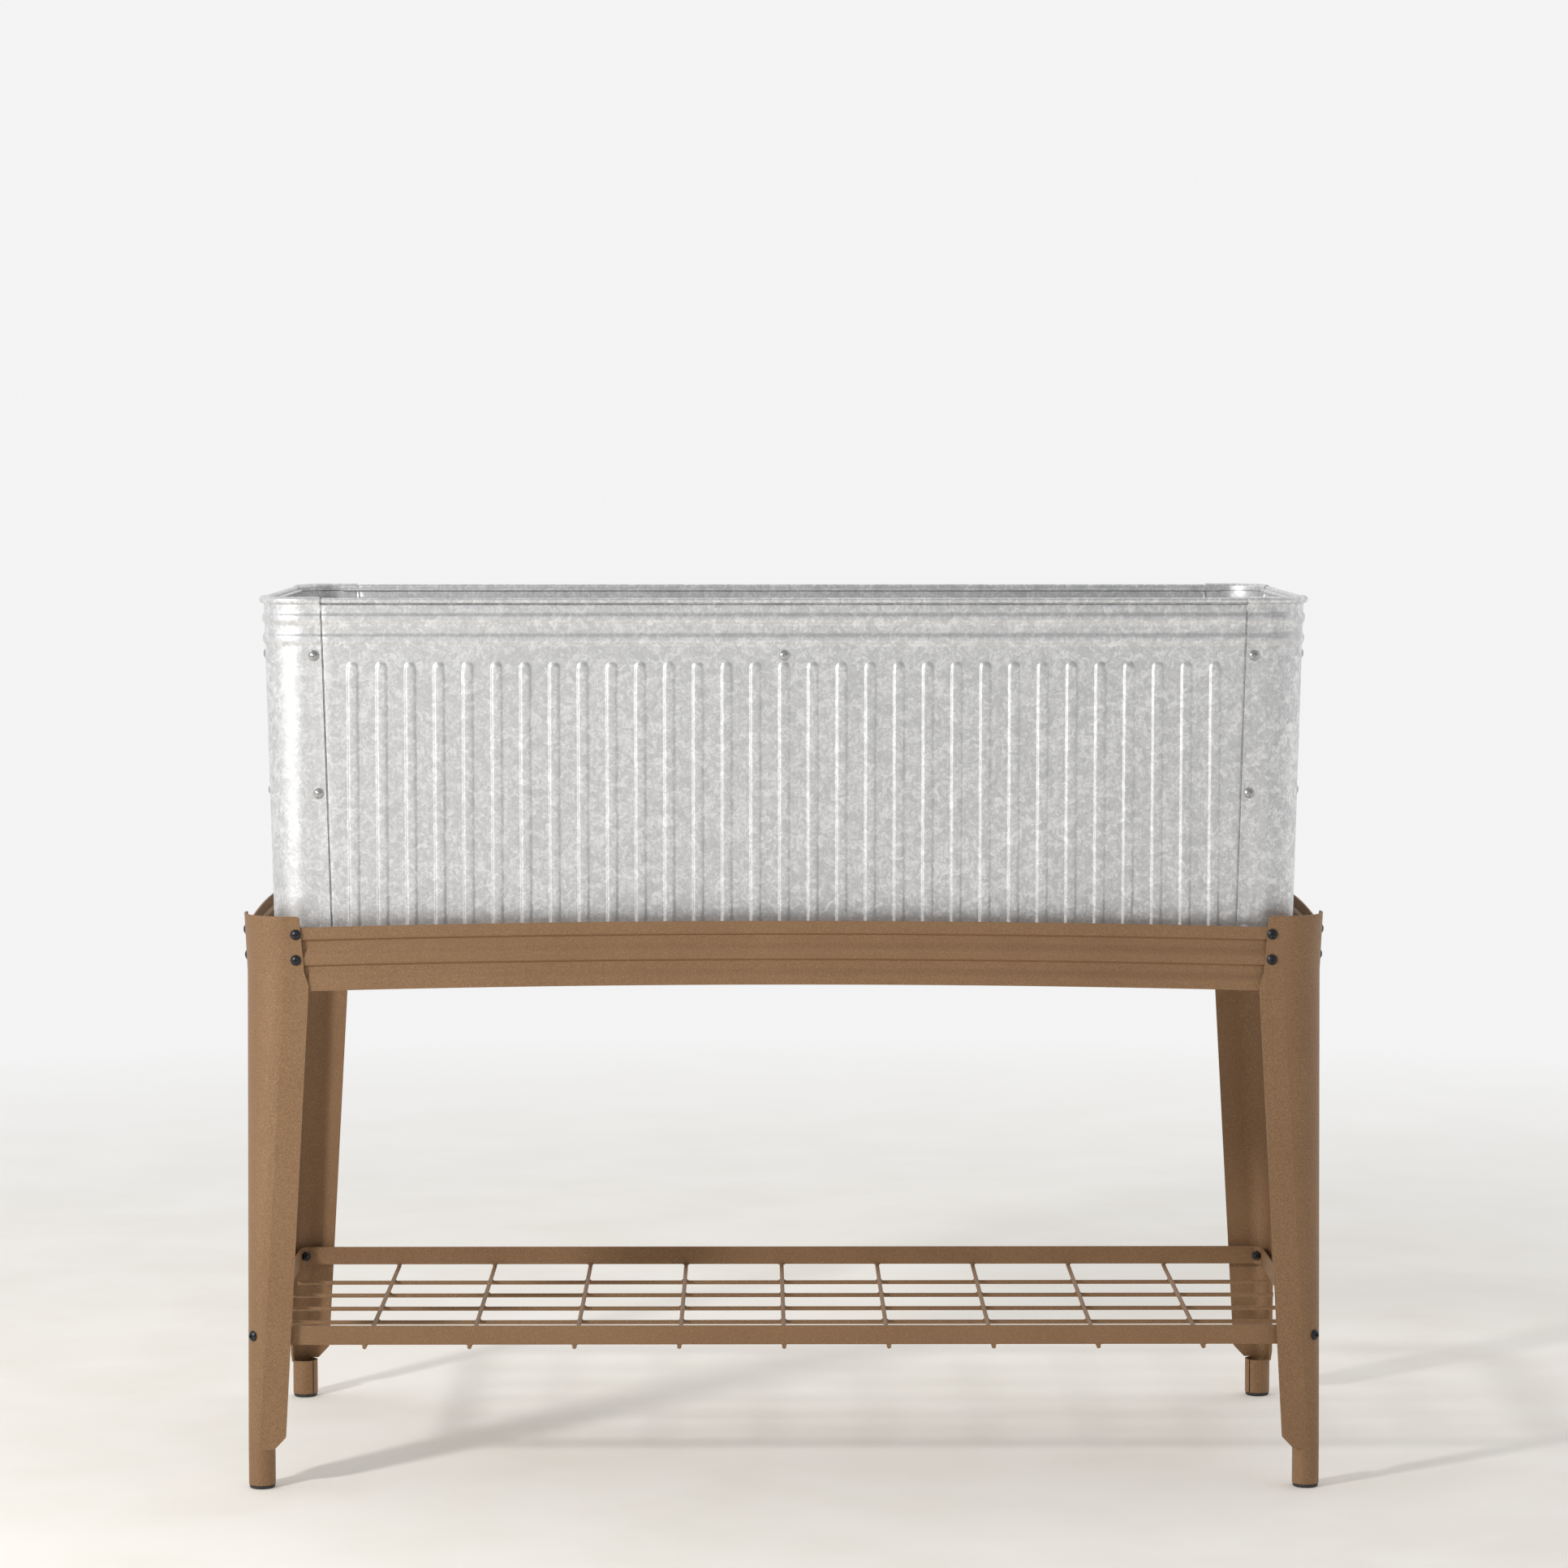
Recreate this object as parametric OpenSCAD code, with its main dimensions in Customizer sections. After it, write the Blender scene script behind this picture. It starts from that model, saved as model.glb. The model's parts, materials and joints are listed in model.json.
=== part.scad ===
// Raised planter on legs: a galvanised tub of folded sheet panels and lapped corner
// pieces, standing in a powder-coated stand with corrugated aprons and a wire shelf.
// Millimetres, +Z up, the front faces -Y, the floor is z = 0.

/* [Overall] */
// Width over the outer faces of the legs
stand_w = 978; // [780:1:1300]
// Depth over the outer faces of the legs
stand_d = 430; // [355:1:560]
// Height from the floor to the top of the rim
total_h = 813; // [675:1:980]

/* [Tub] */
// Height of the tub from its floor to the top of the rim
tub_h = 328; // [260:1:360]
// Gap seen from above between the leg face and the rim
tub_inset = 11.5; // [10:0.5:16]
// Thickness of the galvanised sheet
tub_t = 0.8; // [0.7:0.1:1]
// Lean of every tub wall from the vertical, degrees
taper = 1.45; // [1:0.01:1.8]
// Radius of the rolled edge along the rim
rim_r = 2.5; // [2.2:0.1:3]
// Outer radius of the tub corners at the rim
corner_r = 38; // [31:0.1:46]
// Flat width of a corner piece from its bend to its seam
seam_flat = 15.5; // [14:0.5:20]
// Length of panel hidden under a corner piece
panel_lap = 14; // [12:0.5:15]

/* [Beads and ribs] */
// Height of the upper bead below the top of the rim
bead_1 = 20; // [18:0.5:22]
// Distance between the two beads
bead_gap = 18.5; // [16:0.5:22]
// Width of a bead
bead_w = 11; // [9:0.5:12]
// How far a bead stands out of the wall
bead_h = 2; // [1.5:0.1:2.2]
// Distance between the centres of two ribs
rib_pitch = 26; // [22:0.5:34]
// Width of a rib
rib_w = 9.3; // [7:0.1:11]
// How far a rib stands out of the wall
rib_h = 1.9; // [1.2:0.1:2.2]
// Height of the rounded rib tops below the top of the rim
rib_top = 60; // [57:0.5:75]
// Height of the rounded rib ends above the tub floor
rib_low = 12; // [8:0.5:30]

/* [Tub fasteners] */
// Nominal diameter of every screw
screw_d = 5; // [4:0.5:6]
// Diameter of a screw head
head_d = 9.6; // [8.5:0.1:11]
// Height of a screw head
head_h = 3.1; // [2.5:0.1:3.6]
// Height of the top row of screws below the top of the rim
row_top = 53; // [50:0.5:56]
// Height of the lowest row of screws above the tub floor
row_low = 25; // [20:0.5:28]
// Distance from a seam to its screws
seam_screw = 7; // [6.5:0.1:7.5]
// Number of drain holes along the tub floor
drain_n = 4; // [2:2:6]
// Distance between two drain holes
drain_pitch = 150; // [130:1:160]
// Diameter of a drain hole
drain_d = 12; // [8:0.5:16]

/* [Legs] */
// Thickness of the leg sheet
leg_t = 1.8; // [1.5:0.1:2.2]
// Height of the top of the legs above the tub floor
leg_over = 40; // [36:0.5:55]
// Diameter of the round foot at the bottom of a leg
foot_d = 24.4; // [22:0.2:27]
// Height of the round foot
tube_h = 36.6; // [30:0.5:45]
// Radius of the leg bend where the apron starts
leg_r = 38; // [32:1:40]
// Width of a leg just above the foot
leg_low_w = 35.2; // [32:0.1:38]
// Width of a leg just below the apron
leg_high_w = 59; // [57:0.5:64]
// Width of a leg at its top
leg_top_w = 51.2; // [50:0.1:55]
// Outward lean of the top of the legs and of the aprons, degrees
flare = 2.8; // [1.5:0.1:3.5]
// Width of the slit in the round foot
slit_w = 1.2; // [0.8:0.1:2]
// Height of the plastic foot below the metal
foot_cap_h = 3.4; // [2.5:0.1:6]

/* [Aprons] */
// Thickness of the apron sheet
apron_t = 1.5; // [1.2:0.1:2]
// Height of an apron
apron_h = 58.2; // [50:0.1:70]
// Height of the top of an apron above the tub floor, at the ends of the apron
apron_over = 29.5; // [26:0.5:33]
// Depth of the two grooves
groove = 3; // [2:0.1:3.5]
// Rise of the apron between its ends and the middle
arch = 6.2; // [4:0.1:8]

/* [Shelf] */
// Height of the underside of the shelf frame
shelf_z = 132; // [110:1:220]
// Height of the shelf frame
rail_h = 17.5; // [14:0.5:22]
// Thickness of the shelf frame
rail_t = 1.8; // [1.5:0.1:2.5]
// Distance from the face of a leg to the shelf frame
rail_inset = 8; // [8:0.5:12]
// Width of the slanted corners of the shelf frame
rail_cut = 10; // [9:0.5:14]
// Diameter of the shelf wires
wire_d = 4; // [3:0.1:5]
// Number of wires from front to back
cross_n = 9; // [7:2:15]
// Distance between two wires from front to back
cross_pitch = 95.6; // [50:0.1:110]
// Number of wires from side to side
long_n = 5; // [3:1:7]
// Distance between two wires from side to side
long_pitch = 68.5; // [40:0.5:75]

/* [Tub supports] */
// Width of a support bar
bar_w = 22; // [16:1:32]
// Height of a support bar
bar_h = 11; // [10:0.5:12]
// Thickness of a support bar and of the tub brace
bar_t = 1.5; // [1.2:0.1:2]
// Distance from the middle to the outer support bars
bar_x = 300; // [220:1:330]

/* [Hidden] */
$fn = 64;
// Clearance round a screw in its hole
screw_gap = 0.15;
// Clearance between a plastic foot and the inside of the leg
plug_gap = 0.1;
// Clearance between nested sheets
nest = 0.05;
// The slanted bend of a leg lies this far inside the foot and the bent top, its flats
// half as far, and the flats run on over the bend by flat_lap
set_in = 0.1;
flat_lap = 1;

// Tub
floor_z = total_h - tub_h;
rim_z = total_h - rim_r - tub_t;
rim_u = rim_r - tub_t;
half_x = stand_w / 2 - tub_inset - 2 * rim_r;
half_y = stand_d / 2 - tub_inset - 2 * rim_r;
lean = tan(taper);
seam_in = corner_r + seam_flat;
bead_r = (bead_w * bead_w / 4 + bead_h * bead_h) / (2 * bead_h);
rib_r = (rib_w * rib_w / 4 + rib_h * rib_h) / (2 * rib_h);
bead_z = [total_h - bead_1, total_h - bead_1 - bead_gap];
// Screw rows from the top down; the middle one is half way between the others
row_z = [total_h - row_top, (total_h - row_top + floor_z + row_low) / 2, floor_z + row_low];
// The upturned edge of the floor pan reaches past the lowest screws
pan_top = floor_z + row_low + head_d / 2 + 2;
// Least distance from a rib to the seam
rib_margin = 2;
// Screws, nuts and the brace
screw_len = 9;
nut_af = 8;
nut_h = 3.6;
bore_d = screw_d + 2 * screw_gap;
brace_w = 16;
// Space between the lower edge of a brace end and the leaning wall, at its upper edge
brace_gap = brace_w * lean;

// Legs
leg_h = floor_z + leg_over;
apron_top = floor_z + apron_over;
// How far an apron reaches below the bend of the legs
apron_drop = 17.7;
kink_z = apron_top - apron_h + apron_drop;
// The leg edge steps in just below the apron and again above the round foot
notch_z = kink_z - 12;
step_z = tube_h + 11.4;
foot_r = foot_d / 2;
// The bend is a cone that touches both outer faces of the leg; its tip is at apex_z on
// their common edge, its axis leans inward by axis_tilt and its half angle is cone_a
leg_k = (leg_r - foot_r) / (kink_z - tube_h);
apex_z = tube_h - foot_r / leg_k;
axis_tilt = atan(sqrt(2) * leg_k);
cone_a = asin(sin(axis_tilt) / sqrt(2));
side_a = atan(1 / cos(axis_tilt));
flange_top_w = leg_top_w + 3.8;
tip_r = 3;
flare_out = round(100 * (leg_h - kink_z) * tan(flare)) / 100;
plug_h = 12;

// Aprons: five bands, the second and the fourth pressed in as grooves
band = apron_h / 5;
web = 3;
screw_in = 47.7;
apron_end = leg_r + 4;
// The two halves of an arched apron run past each other by this much
arch_lap = 3;
screw_s = [for (k = [4.5, 2.5]) k * band - apron_drop];

// Shelf
shelf_screw_z = shelf_z + rail_h / 2;
leg_out = (shelf_screw_z - apex_z) * tan(axis_tilt - cone_a) + set_in * sqrt(2);
spacer_d = 9;
spacer_gap = 0.75;
leg_in = leg_out + leg_t + spacer_gap;
head_lift = 0.15;
tip_out = 1.5;
cut_leg = rail_cut / sqrt(2);
cut_in = rail_inset * sqrt(2) + rail_cut / 2;
shelf_len = cut_in + rail_t + nut_h + tip_out - leg_out;

// How far the wall face lies inside its place at the rim, at height z
function wall_u(z) = -(rim_z - z) * lean;

// Ribs on each side of the middle of a panel with the given half length
function rib_n(half) =
    floor((half - seam_in + wall_u(floor_z) - rib_w / 2 - rib_margin) / rib_pitch);

// Distance of the seam from the middle of a wall, at height z
function seam(half, z) = half - seam_in + wall_u(z);

// Radius of the lower edge of an apron with the given half length
function arch_r(half) = (half * half + arch * arch) / (2 * arch);

// Walls and aprons are numbered 0 back, 1 left, 2 front, 3 right: _half is half the
// length along one, _off its distance from the middle
function tub_half(i) = i % 2 == 0 ? half_x : half_y;
function tub_off(i) = i % 2 == 0 ? half_y : half_x;
function stand_half(i) = (i % 2 == 0 ? stand_w : stand_d) / 2;
function stand_off(i) = (i % 2 == 0 ? stand_d : stand_w) / 2;

// ---- places ----

// Turns +Y outward: 0 back, 1 left, 2 front, 3 right
module tub_side(i) {
    rotate([0, 0, 90 * i])
        translate([0, tub_off(i), 0])
            children();
}

// A frame lying in the outer face of an apron, +Y outward, origin at the bend of the legs
module stand_side(i) {
    rotate([0, 0, 90 * i])
        translate([0, stand_off(i) - leg_t, kink_z])
            rotate([-flare, 0, 0])
                children();
}

// Mirrors a piece made for the corner at +X +Y to the other corners
module corner(sx, sy) {
    mirror([sx < 0 ? 1 : 0, 0, 0])
        mirror([0, sy < 0 ? 1 : 0, 0])
            children();
}

// Places of the screws on one wall of the tub; +Z points out of the wall
module at_wall_screw(x, z) {
    translate([x, wall_u(z), z])
        rotate([-90 - taper, 0, 0])
            children();
}

// Screws through the seams at both ends of wall i
module at_seam_screws(i) {
    for (z = row_z, s = [-1, 1])
        at_wall_screw(s * (seam(tub_half(i), z) + seam_screw), z)
            children();
}

// Screws that hold an apron to its two legs
module at_apron_screws(i) {
    for (s = [-1, 1], h = screw_s)
        translate([s * (stand_half(i) - screw_in), 0, h])
            rotate([-90, 0, 0])
                children();
}

// Line of the shelf screw at the corner +X +Y; +Z points out of the leg
module at_shelf_screw() {
    translate([stand_w / 2, stand_d / 2, shelf_screw_z])
        rotate([0, 0, 45])
            rotate([0, 90, 0])
                children();
}

// ---- fasteners ----

module pan_screw(len) {
    edge = head_h / 4;
    cap_h = head_h - edge;
    cap_r = (head_d * head_d / 4 + cap_h * cap_h) / (2 * cap_h);
    difference() {
        union() {
            rotate_extrude()
                intersection() {
                    translate([0, head_h - cap_r])
                        circle(r = cap_r);
                    square([head_d / 2, head_h]);
                }
            translate([0, 0, -len])
                cylinder(d = screw_d, h = len + edge);
        }
        for (a = [0, 90])
            rotate([0, 0, a])
                translate([-head_d / 4, -head_d / 20, head_h * 0.4])
                    cube([head_d / 2, head_d / 10, head_h]);
    }
}

module hex_nut() {
    difference() {
        cylinder(d = nut_af / cos(30), h = nut_h, $fn = 6);
        translate([0, 0, -1])
            cylinder(d = screw_d, h = nut_h + 2);
    }
}

module bore(len) {
    translate([0, 0, -len / 2])
        cylinder(d = bore_d, h = len);
}

// ---- tub ----

// Section of a wall: x is outward, y is up; off is the place of the outer face
module wall_section(off, out_r, z_top) {
    difference() {
        union() {
            polygon([
                [wall_u(floor_z) + off - tub_t, floor_z],
                [wall_u(floor_z) + off, floor_z],
                [wall_u(z_top) + off, z_top],
                [wall_u(z_top) + off - tub_t, z_top]
            ]);
            for (z = bead_z)
                intersection() {
                    translate([wall_u(z) - bead_r + bead_h, z])
                        circle(r = out_r);
                    translate([wall_u(z) + off - tub_t / 2, z - bead_w])
                        square([bead_w, 2 * bead_w]);
                }
        }
        for (z = bead_z)
            translate([wall_u(z) - bead_r + bead_h, z])
                circle(r = out_r - tub_t);
    }
}

// Section of a panel with its rolled edge
module panel_section() {
    wall_section(0, bead_r, rim_z);
    translate([rim_u, rim_z])
        difference() {
            circle(r = rim_r);
            circle(r = rim_r - tub_t);
        }
}

// Section of a corner piece: it lies on the panel and its edge curls over the panel edge
module corner_section() {
    wall_section(tub_t + nest, bead_r + tub_t + nest, rim_z - rim_r);
    translate([rim_u, rim_z])
        difference() {
            circle(r = rim_r + tub_t);
            circle(r = rim_r + nest);
            translate([-2 * rim_r - rim_u + nest, -2 * rim_r])
                square([2 * rim_r, 2 * rim_r]);
        }
}

// A ribbed bar with round ends, grown by g, in the frame of a wall
module rib(x, g) {
    z0 = floor_z + rib_low;
    len = (total_h - rib_top - z0) / cos(taper) - rib_w;
    translate([x, wall_u(z0), z0])
        rotate([-taper, 0, 0])
            translate([0, rib_h - rib_r, rib_w / 2])
                rotate_extrude()
                    intersection() {
                        union() {
                            circle(r = rib_r + g);
                            translate([0, len])
                                circle(r = rib_r + g);
                            square([rib_r + g, len]);
                        }
                        translate([0, -2 * rib_r])
                            square([2 * rib_r, len + 4 * rib_r]);
                    }
}

// Everything outside the middle of the sheet of a wall
module wall_outside(half) {
    translate([-half, wall_u(floor_z), floor_z])
        rotate([-taper, 0, 0])
            translate([0, -tub_t / 2, 0])
                cube([2 * half, 3 * rib_h, tub_h]);
}

module tub_panel(i) {
    half = tub_half(i);
    end = half - seam_in + panel_lap;
    n = rib_n(half);
    tub_side(i)
        difference() {
            union() {
                rotate([90, 0, 90])
                    translate([0, 0, -end])
                        linear_extrude(2 * end)
                            panel_section();
                intersection() {
                    union()
                        for (k = [-n:n])
                            rib(k * rib_pitch, 0);
                    wall_outside(half);
                }
            }
            for (k = [-n:n])
                rib(k * rib_pitch, -tub_t);
            at_seam_screws(i)
                bore(8);
            if (i % 2 == 0)
                at_wall_screw(0, row_z[0])
                    bore(8);
        }
}

// Flat end of a corner piece along wall i, made for the corner at +X +Y
module corner_flat(i) {
    start = tub_half(i) - corner_r;
    low = seam(tub_half(i), floor_z);
    high = seam(tub_half(i), total_h);
    difference() {
        rotate([90, 0, 90])
            translate([0, 0, start - corner_r])
                linear_extrude(corner_r)
                    corner_section();
        rotate([90, 0, 0])
            translate([0, 0, -4 * rim_r])
                linear_extrude(8 * rim_r)
                    polygon([[0, floor_z], [low, floor_z], [high, total_h], [0, total_h]]);
        for (z = row_z)
            at_wall_screw(seam(tub_half(i), z) + seam_screw, z)
                bore(8);
    }
}

module tub_corner(sx, sy) {
    corner(sx, sy) {
        translate([half_x - corner_r, half_y - corner_r, 0])
            rotate_extrude(angle = 90)
                translate([corner_r, 0])
                    corner_section();
        translate([0, half_y, 0])
            corner_flat(0);
        mirror([1, -1, 0])
            translate([0, half_x, 0])
                corner_flat(1);
    }
}

// Solid with the plan of the tub floor, its face off inside the walls
module pan_block(off, z0, z1) {
    u0 = wall_u(z0) - off;
    u1 = wall_u(z1) - off;
    r = corner_r - off;
    for (sx = [-1, 1], sy = [-1, 1])
        translate([sx * (half_x - corner_r), sy * (half_y - corner_r), z0])
            cylinder(r1 = r + u0 + off, r2 = r + u1 + off, h = z1 - z0);
    for (i = [0:3])
        rotate([0, 0, 90 * i])
            translate([corner_r - tub_half(i), 0, 0])
                rotate([90, 0, 90])
                    linear_extrude(2 * (tub_half(i) - corner_r))
                        polygon([
                            [0, z0], [tub_off(i) + u0, z0],
                            [tub_off(i) + u1, z1], [0, z1]
                        ]);
}

module tub_floor_pan() {
    color("silver")
        difference() {
            pan_block(tub_t + nest, floor_z, pan_top);
            difference() {
                pan_block(2 * tub_t + nest, floor_z, pan_top + 1);
                translate([-stand_w / 2, -stand_d / 2, floor_z - 1])
                    cube([stand_w, stand_d, 1 + tub_t]);
            }
            for (k = [0:drain_n - 1])
                translate([(k - (drain_n - 1) / 2) * drain_pitch, 0, floor_z - 1])
                    cylinder(d = drain_d, h = tub_t + 2);
            for (i = [0:3], s = [-1, 1])
                tub_side(i)
                    at_wall_screw(s * (seam(tub_half(i), row_z[2]) + seam_screw), row_z[2])
                        bore(8);
        }
}

// Angle bar from the front panel to the back panel, with folded ends
module tub_brace() {
    z = row_z[0];
    end = half_y + wall_u(z) - tub_t - brace_gap / 2 - nest;
    color("silver")
        difference() {
            translate([-brace_w / 2, -end, z - brace_w / 2])
                cube([brace_w, 2 * end, brace_w]);
            translate([-brace_w / 2 - 1, bar_t - end, z - brace_w / 2 - 1])
                cube([brace_w - bar_t + 1, 2 * (end - bar_t), brace_w - bar_t + 1]);
            for (i = [0, 2])
                tub_side(i)
                    at_wall_screw(0, z)
                        bore(12);
        }
}

module tub_screws() {
    color("gainsboro")
        for (i = [0:3])
            tub_side(i) {
                at_seam_screws(i)
                    translate([0, 0, tub_t + nest])
                        pan_screw(screw_len);
                if (i % 2 == 0)
                    at_wall_screw(0, row_z[0])
                        pan_screw(screw_len);
            }
}

module tub_nuts() {
    color("gainsboro")
        for (i = [0:3])
            tub_side(i) {
                for (k = [0:2], s = [-1, 1])
                    at_wall_screw(s * (seam(tub_half(i), row_z[k]) + seam_screw), row_z[k])
                        translate([0, 0, -nut_h - tub_t - (k == 2 ? tub_t + nest : 0)])
                            hex_nut();
                if (i % 2 == 0)
                    at_wall_screw(0, row_z[0])
                        translate([0, 0, -nut_h - tub_t - bar_t - brace_gap - nest])
                            hex_nut();
            }
}

// ---- stand ----

// One flat of a leg below the bend: x along the wall, y inward
module leg_flat() {
    rotate([90, 0, 0])
        translate([0, 0, -leg_t - set_in / 2])
            linear_extrude(leg_t)
                polygon([
                    [foot_r - flat_lap, tube_h], [foot_d, tube_h], [leg_low_w, step_z],
                    [leg_high_w, notch_z], [flange_top_w, kink_z], [leg_r - flat_lap, kink_z]
                ]);
}

// One flat of a leg beside the apron, leaning out and with a rounded top corner
module leg_top_flat() {
    intersection() {
        rotate([90, 0, 90])
            translate([0, 0, leg_r])
                linear_extrude(leg_high_w)
                    polygon([
                        [0, kink_z], [leg_t, kink_z],
                        [leg_t - flare_out, leg_h], [-flare_out, leg_h]
                    ]);
        rotate([90, 0, 0])
            translate([0, 0, -2 * leg_t])
                linear_extrude(4 * leg_t + flare_out)
                    union() {
                        polygon([
                            [0, kink_z], [flange_top_w, kink_z],
                            [leg_top_w, leg_h - tip_r], [leg_top_w - tip_r, leg_h], [0, leg_h]
                        ]);
                        translate([leg_top_w - tip_r, leg_h - tip_r])
                            circle(r = tip_r);
                    }
    }
}

// A leg in its own corner: the outer faces are x = 0 and y = 0
module leg_shape() {
    s0 = (tube_h - apex_z) / cos(axis_tilt) - foot_d;
    s1 = (kink_z - apex_z) / cos(axis_tilt) + leg_r;
    skin = leg_t / cos(cone_a);
    intersection() {
        translate([set_in, set_in, apex_z])
            rotate([0, axis_tilt, 45])
                rotate([0, 0, 180 - side_a])
                    rotate_extrude(angle = 2 * side_a)
                        polygon([
                            [s0 * tan(cone_a), s0], [s1 * tan(cone_a), s1],
                            [s1 * tan(cone_a) - skin, s1], [s0 * tan(cone_a) - skin, s0]
                        ]);
        translate([-1, -1, tube_h])
            cube([leg_high_w, leg_high_w, kink_z - tube_h]);
    }
    leg_flat();
    mirror([1, -1, 0])
        leg_flat();
    translate([leg_r, leg_r, 0])
        rotate([0, 0, 180])
            rotate_extrude(angle = 90)
                polygon([
                    [leg_r - leg_t, kink_z], [leg_r, kink_z],
                    [leg_r + flare_out, leg_h], [leg_r + flare_out - leg_t, leg_h]
                ]);
    leg_top_flat();
    mirror([1, -1, 0])
        leg_top_flat();
    translate([foot_r, foot_r, foot_cap_h])
        difference() {
            cylinder(r = foot_r, h = tube_h - foot_cap_h);
            translate([0, 0, -1])
                cylinder(r = foot_r - leg_t, h = tube_h + 2);
            rotate([0, 0, 45])
                translate([0, -slit_w / 2, -1])
                    cube([foot_d, slit_w, tube_h + 2]);
        }
}

module leg(sx, sy) {
    color("sienna")
        difference() {
            corner(sx, sy)
                translate([stand_w / 2, stand_d / 2, 0])
                    rotate([0, 0, 180])
                        leg_shape();
            for (i = [0:3])
                stand_side(i)
                    at_apron_screws(i)
                        bore(3 * leg_t);
            corner(sx, sy)
                at_shelf_screw()
                    translate([0, 0, -leg_out])
                        bore(4 * leg_t);
        }
}

module foot(sx, sy) {
    edge = 1;
    wide = foot_r - leg_t / 3;
    color("dimgray")
        corner(sx, sy)
            translate([stand_w / 2 - foot_r, stand_d / 2 - foot_r, 0]) {
                cylinder(r1 = wide - edge, r2 = wide, h = edge);
                translate([0, 0, edge])
                    cylinder(r = wide, h = foot_cap_h - edge);
                translate([0, 0, foot_cap_h])
                    cylinder(r = foot_r - leg_t - plug_gap, h = plug_h);
            }
}

// Section of an apron: x is up from its lower edge, y is inward
module apron_section() {
    face = [
        [0, 0], [band - web / 2, 0],
        [band + web / 2, groove], [2 * band - web / 2, groove],
        [2 * band + web / 2, 0], [3 * band - web / 2, 0],
        [3 * band + web / 2, groove], [4 * band - web / 2, groove],
        [4 * band + web / 2, 0], [5 * band, 0]
    ];
    back = [for (k = [len(face) - 1:-1:0]) [face[k][0], face[k][1] + apron_t]];
    polygon(concat(face, back));
}

// An apron is a shallow arch, turned about a line far below it in two halves
module apron(i) {
    half = stand_half(i) - apron_end;
    r = arch_r(half);
    a = asin(half / r);
    lap = arch_lap / r * 180 / PI;
    color("sienna")
        stand_side(i)
            difference() {
                translate([0, 0, arch - apron_drop - r])
                    rotate([90, 0, 0])
                        for (s = [0, 1])
                            mirror([s, 0, 0])
                                rotate([0, 0, 90 - a])
                                    rotate_extrude(angle = a + lap)
                                        translate([r, 0])
                                            apron_section();
                at_apron_screws(i)
                    bore(4 * apron_t);
            }
}

// Channel on which the tub stands; its end tabs reach down the lower grooves of the two
// long aprons
module support_bar(x) {
    depth = groove + apron_t;
    tab_low = 1.2 * band - apron_drop;
    tab_high = floor_z - 1 - kink_z;
    tab_w = bar_w - bar_t;
    end = stand_d / 2 - leg_t - depth - bar_t;
    color("sienna")
        translate([x, 0, 0]) {
            difference() {
                translate([-bar_w / 2, -end, floor_z - bar_h])
                    cube([bar_w, 2 * end, bar_h]);
                translate([bar_t - bar_w / 2, -end - 1, floor_z - bar_h - 1])
                    cube([bar_w - 2 * bar_t, 2 * end + 2, bar_h - bar_t + 1]);
            }
            for (i = [0, 2])
                stand_side(i)
                    translate([-tab_w / 2, -depth - bar_t - 1, tab_low])
                        cube([tab_w, bar_t + 1, tab_high - tab_low]);
        }
}

module apron_screws() {
    color("dimgray")
        for (i = [0:3])
            stand_side(i)
                at_apron_screws(i)
                    translate([0, 0, leg_t])
                        pan_screw(screw_len);
}

module apron_nuts() {
    color("dimgray")
        for (i = [0:3])
            stand_side(i)
                at_apron_screws(i)
                    translate([0, 0, -apron_t - nut_h])
                        hex_nut();
}

// ---- shelf ----

// Plan of the shelf frame, its outline d inside the outer face
module frame_plan(d) {
    x = stand_w / 2 - rail_inset - d;
    y = stand_d / 2 - rail_inset - d;
    c = cut_leg - d * (2 - sqrt(2));
    polygon([
        [x, y - c], [x - c, y], [c - x, y], [-x, y - c],
        [-x, c - y], [c - x, -y], [x - c, -y], [x, c - y]
    ]);
}

module shelf_frame() {
    color("sienna")
        difference() {
            translate([0, 0, shelf_z])
                linear_extrude(rail_h)
                    difference() {
                        frame_plan(0);
                        frame_plan(rail_t);
                    }
            for (sx = [-1, 1], sy = [-1, 1])
                corner(sx, sy)
                    at_shelf_screw()
                        translate([0, 0, -cut_in])
                            bore(4 * rail_t);
        }
}

module shelf_cross_wires() {
    len = stand_d - 2 * rail_inset + 1;
    color("sienna")
        for (k = [0:cross_n - 1])
            translate([(k - (cross_n - 1) / 2) * cross_pitch, len / 2, shelf_z - wire_d / 2])
                rotate([90, 0, 0])
                    cylinder(d = wire_d, h = len);
}

module shelf_long_wires() {
    len = stand_w - 2 * rail_inset - 8;
    color("sienna")
        for (k = [0:long_n - 1])
            translate([-len / 2, (k - (long_n - 1) / 2) * long_pitch, shelf_z - 1.5 * wire_d])
                rotate([0, 90, 0])
                    cylinder(d = wire_d, h = len);
}

module shelf_screws() {
    color("dimgray")
        for (sx = [-1, 1], sy = [-1, 1])
            corner(sx, sy)
                at_shelf_screw()
                    translate([0, 0, head_lift - leg_out])
                        pan_screw(shelf_len);
}

module shelf_spacers() {
    color("dimgray")
        for (sx = [-1, 1], sy = [-1, 1])
            corner(sx, sy)
                at_shelf_screw()
                    translate([0, 0, -cut_in])
                        difference() {
                            cylinder(d = spacer_d, h = cut_in - leg_in);
                            bore(4 * cut_in);
                        }
}

module shelf_nuts() {
    color("dimgray")
        for (sx = [-1, 1], sy = [-1, 1])
            corner(sx, sy)
                at_shelf_screw()
                    translate([0, 0, -cut_in - rail_t - nut_h])
                        hex_nut();
}

// ---- pieces ----

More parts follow.
